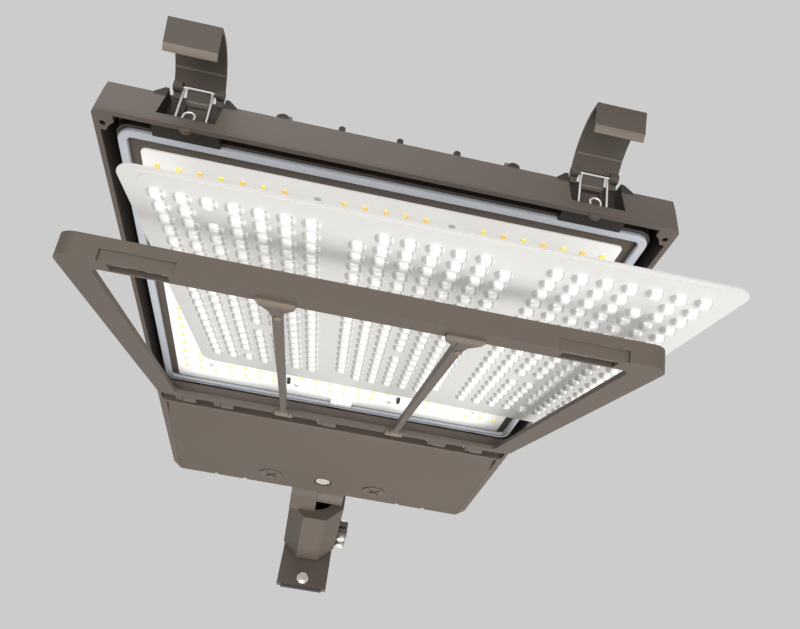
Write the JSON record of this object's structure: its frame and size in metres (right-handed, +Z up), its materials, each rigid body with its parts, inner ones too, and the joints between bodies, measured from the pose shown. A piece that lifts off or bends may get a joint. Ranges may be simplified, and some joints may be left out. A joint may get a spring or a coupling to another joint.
{
  "type": "shoebox area light",
  "caption": "Outdoor shoebox LED area light with ribbed housing, hinged door hanging open, lens plate drawn out, two draw latches, driver box and slipfitter on a wall plate.",
  "frame": {"origin": "centre of the wall plate's rear face", "axes": "+Z up, normal to the rim plane; +Y from the front latches back to the wall plate; +X across to the right seen from the front"},
  "size_m": [0.4461, 0.9582, 0.1822],
  "materials": {
    "bronze_paint": "die cast, satin bronze powder coat",
    "dark_bronze": "dark satin powder coat",
    "bright_steel": "bright plated steel",
    "board_white": "white solder mask",
    "led_phosphor": "yellow phosphor",
    "black_plastic": "moulded",
    "white_plastic": "moulded",
    "gasket_grey": "silicone",
    "driver_case": "folded sheet",
    "lens_clear": "moulded clear optic",
    "black_rubber": "sheet rubber"
  },
  "bodies": {
    "bracket": {"slipfitter_body": "bronze_paint", "pivot_bolt": "dark_bronze", "pivot_washer": "bright_steel", "pivot_nut": "bright_steel", "set_bolts": "bright_steel", "set_nuts": "bright_steel", "tenon": "dark_bronze", "wall_plate": "dark_bronze", "plate_gasket": "black_rubber", "wall_bolts": "bright_steel", "wall_washers": "bright_steel"},
    "luminaire": {"housing": "bronze_paint", "led_board": "board_white", "led_chips": "led_phosphor", "board_screws": "bright_steel", "board_connectors": "black_plastic", "wire_connector": "white_plastic", "gasket": "gasket_grey", "knuckle_arm": "bronze_paint", "arm_bolts": "bright_steel", "hinge_pins": "bright_steel", "led_driver": "driver_case", "driver_screws": "bright_steel", "surge_protector": "black_plastic", "terminal_block": "white_plastic", "latch_plate_left": "dark_bronze", "latch_plate_right": "dark_bronze", "latch_spring_left": "bright_steel", "latch_spring_right": "bright_steel"},
    "door": {"door_frame": "bronze_paint", "mullion_left": "bronze_paint", "mullion_right": "bronze_paint"},
    "lens": {"lens_plate": "lens_clear"},
    "cover": {"driver_cover": "bronze_paint", "cover_gasket": "black_rubber", "cover_plugs": "bronze_paint"},
    "captive_screw": {"cover_screw": "bright_steel"},
    "bail_left": {"latch_bail_left": "bright_steel"},
    "bail_right": {"latch_bail_right": "bright_steel"},
    "latch_left": {"latch_cover_left": "bronze_paint"},
    "latch_right": {"latch_cover_right": "bronze_paint"}
  },
  "joints": [
    {"name": "tilt", "type": "hinge", "parent": "bracket", "child": "luminaire", "pos_m": [0, -0.17416, 0.06564], "axis": [1, 0, 0], "range_deg": [-12, 78]},
    {"name": "door_swing", "type": "hinge", "parent": "luminaire", "child": "door", "pos_m": [0, -0.46816, 0.02864], "axis": [1, 0, 0], "range_deg": [0, 75]},
    {"name": "lens_draw", "type": "slide", "parent": "door", "child": "lens", "axis": [-0.03, -0.9755, -0.218], "range_m": [0, 0.06]},
    {"name": "cover_swing", "type": "hinge", "parent": "luminaire", "child": "cover", "pos_m": [0, -0.43086, 0.04014], "axis": [1, 0, 0], "range_deg": [-90, 0]},
    {"name": "screw_turn", "type": "hinge", "parent": "cover", "child": "captive_screw", "pos_m": [0, -0.25816, 0.03864], "axis": [0, 0, 1], "continuous": true},
    {"name": "bail_left_swing", "type": "hinge", "parent": "luminaire", "child": "bail_left", "pos_m": [-0.1485, -0.86116, 0.04564], "axis": [1, 0, 0], "range_deg": [-1, 4]},
    {"name": "latch_left_turn", "type": "hinge", "parent": "bail_left", "child": "latch_left", "pos_m": [-0.1485, -0.86916, 0.07764], "axis": [1, 0, 0], "range_deg": [-6, 60]},
    {"name": "bail_right_swing", "type": "hinge", "parent": "luminaire", "child": "bail_right", "pos_m": [0.1485, -0.86116, 0.04564], "axis": [1, 0, 0], "range_deg": [-1, 4]},
    {"name": "latch_right_turn", "type": "hinge", "parent": "bail_right", "child": "latch_right", "pos_m": [0.1485, -0.86916, 0.07764], "axis": [1, 0, 0], "range_deg": [-10, 74]}
  ],
  "couplings": [
    {"joint": "bail_left_swing", "follows": "latch_left_turn", "ratio": 0.03},
    {"joint": "bail_right_swing", "follows": "latch_right_turn", "ratio": 0.03}
  ]
}
